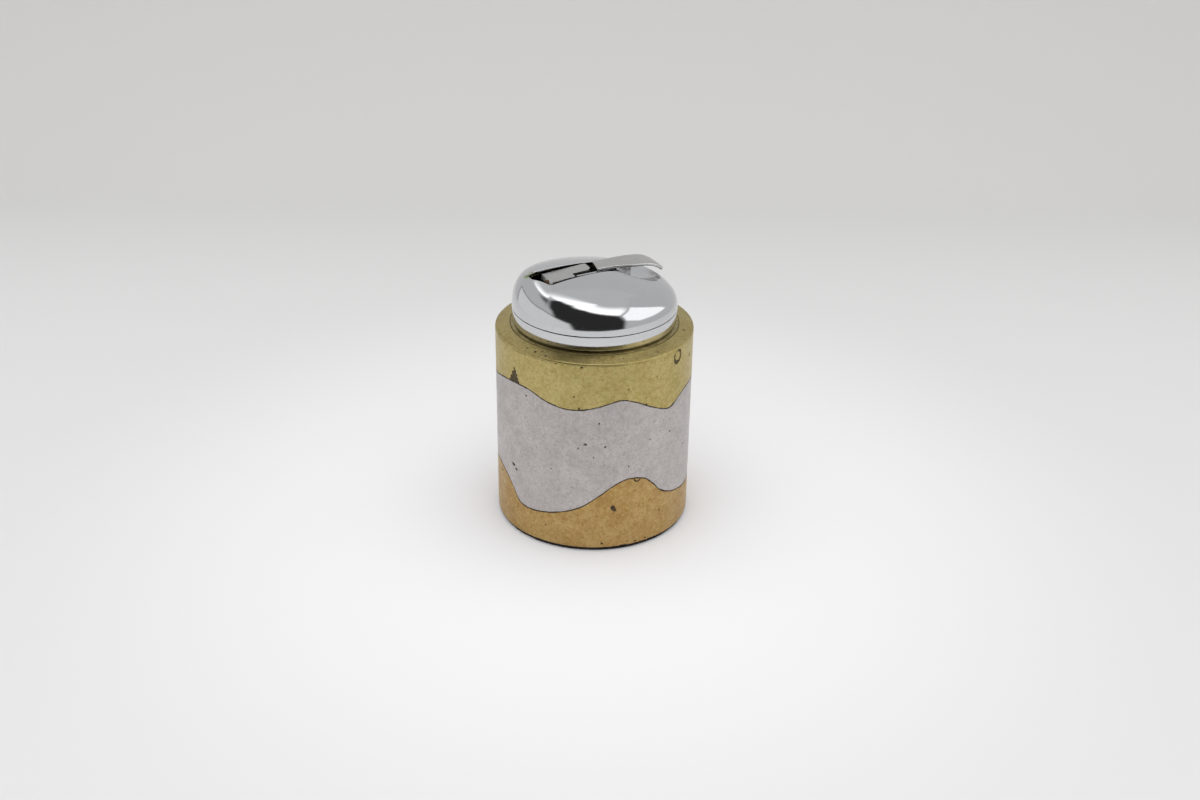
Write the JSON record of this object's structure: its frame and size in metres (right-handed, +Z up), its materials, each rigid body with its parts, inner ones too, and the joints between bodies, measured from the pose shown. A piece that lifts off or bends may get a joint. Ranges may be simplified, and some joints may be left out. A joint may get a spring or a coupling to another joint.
{
  "type": "table lighter",
  "caption": "Cylindrical cast brass and aluminium table lighter with wavy seams and a chromed domed butane insert worked by a thumb lever in a slanted slot.",
  "frame": {"origin": "centre of the felt foot's underside, on the table", "axes": "+Z up along the body's axis, -Y is the front as pictured, +X to its right"},
  "size_m": [0.064, 0.064, 0.0868],
  "materials": {
    "felt": "matt black felt",
    "lower_brass": "cast, satin, warm",
    "aluminium": "cast, brushed, stained",
    "upper_brass": "cast, satin, greenish",
    "adapter_brass": "turned, dark with age",
    "chrome": "polished",
    "satin_chrome": "brushed",
    "plated_steel": "zinc plated",
    "dark_steel": "hardened, dark",
    "spring_steel": "bright wire",
    "tank_brass": "drawn sheet",
    "valve_brass": "turned",
    "rubber": "matt",
    "filter_foam": "open foam",
    "flint_metal": "dark grey",
    "guard_brass": "sooty brown with green edges"
  },
  "bodies": {
    "cast_body": {"base_felt": "felt", "lower_brass_casting": "lower_brass", "aluminium_band": "aluminium", "upper_brass_casting": "upper_brass", "adapter_ring": "adapter_brass"},
    "insert": {"collar": "chrome", "cap_shell": "chrome", "chassis_plate": "valve_brass", "chassis_screws": "plated_steel", "frame_plate_front": "plated_steel", "frame_plate_back": "plated_steel", "frame_screws": "plated_steel", "frame_spacer": "valve_brass", "tank_can": "tank_brass", "tank_lid": "tank_brass", "grip_ring": "rubber", "fill_valve_body": "valve_brass", "fill_valve_seal": "rubber", "fill_valve_spring": "spring_steel", "burner_tube": "valve_brass", "nozzle_spring": "spring_steel", "fuel_filter": "filter_foam", "flint_tube": "plated_steel", "flint": "flint_metal", "flint_follower": "valve_brass", "flint_spring": "spring_steel", "wheel_axle": "plated_steel", "lever_pivot_pin": "plated_steel", "lever_spring": "spring_steel", "snuffer_pivot_pin": "plated_steel", "wind_guard": "guard_brass"},
    "lever": {"lever_cover": "satin_chrome", "lever_frame": "chrome", "drive_pawl": "spring_steel", "pawl_rivet": "valve_brass"},
    "snuffer": {"snuffer_lid": "satin_chrome", "lift_pin": "plated_steel", "snuffer_cup": "valve_brass", "snuffer_pad": "rubber", "snuffer_rivet": "guard_brass"},
    "wheel": {"spark_wheel": "dark_steel", "ratchet_wheel": "dark_steel"},
    "jet": {"burner_nozzle": "valve_brass", "nozzle_seal": "rubber"},
    "fill_valve_stem": {"fill_valve_stem": "valve_brass"},
    "flame_adjuster": {"flame_adjuster": "valve_brass"},
    "flint_screw": {"flint_screw": "plated_steel"}
  },
  "joints": [
    {"name": "insert_lift_out", "type": "slide", "parent": "cast_body", "child": "insert", "axis": [0, 0, 1], "range_m": [0, 0.06]},
    {"name": "thumb_lever_press", "type": "hinge", "parent": "insert", "child": "lever", "pos_m": [0.00548, 0.00244, 0.0799], "axis": [-0.4067, 0.9135, 0], "range_deg": [0, 7], "stiffness_Nm_per_rad": 0.05, "springref_deg": -5.73, "deforming": ["lever_spring"]},
    {"name": "snuffer_lift", "type": "hinge", "parent": "insert", "child": "snuffer", "pos_m": [-0.00292, -0.0013, 0.0832], "axis": [-0.4067, 0.9135, 0], "range_deg": [0, 24]},
    {"name": "spark_wheel_turn", "type": "hinge", "parent": "insert", "child": "wheel", "pos_m": [-0.00639, -0.00285, 0.0767], "axis": [-0.4067, 0.9135, 0], "range_deg": [0, 36]},
    {"name": "jet_rise", "type": "slide", "parent": "insert", "child": "jet", "axis": [0, 0, 1], "range_m": [0, 0.0006], "deforming": ["nozzle_spring"]},
    {"name": "fill_valve_push", "type": "slide", "parent": "insert", "child": "fill_valve_stem", "axis": [0, 0, 1], "range_m": [0, 0.001], "stiffness_N_per_m": 300, "springref_m": -0.002, "deforming": ["fill_valve_spring"]},
    {"name": "flame_adjuster_turn", "type": "hinge", "parent": "insert", "child": "flame_adjuster", "pos_m": [-0.01279, -0.00569, 0.0183], "axis": [0, 0, 1], "range_deg": [-135, 135]},
    {"name": "flint_screw_turn", "type": "hinge", "parent": "insert", "child": "flint_screw", "pos_m": [-0.00639, -0.00285, 0.0183], "axis": [0, 0, 1], "range_deg": [0, 360]}
  ],
  "couplings": [
    {"joint": "snuffer_lift", "follows": "thumb_lever_press", "ratio": 3.4},
    {"joint": "spark_wheel_turn", "follows": "thumb_lever_press", "ratio": 5},
    {"joint": "jet_rise", "follows": "thumb_lever_press", "m_per_rad": 0.0045}
  ]
}
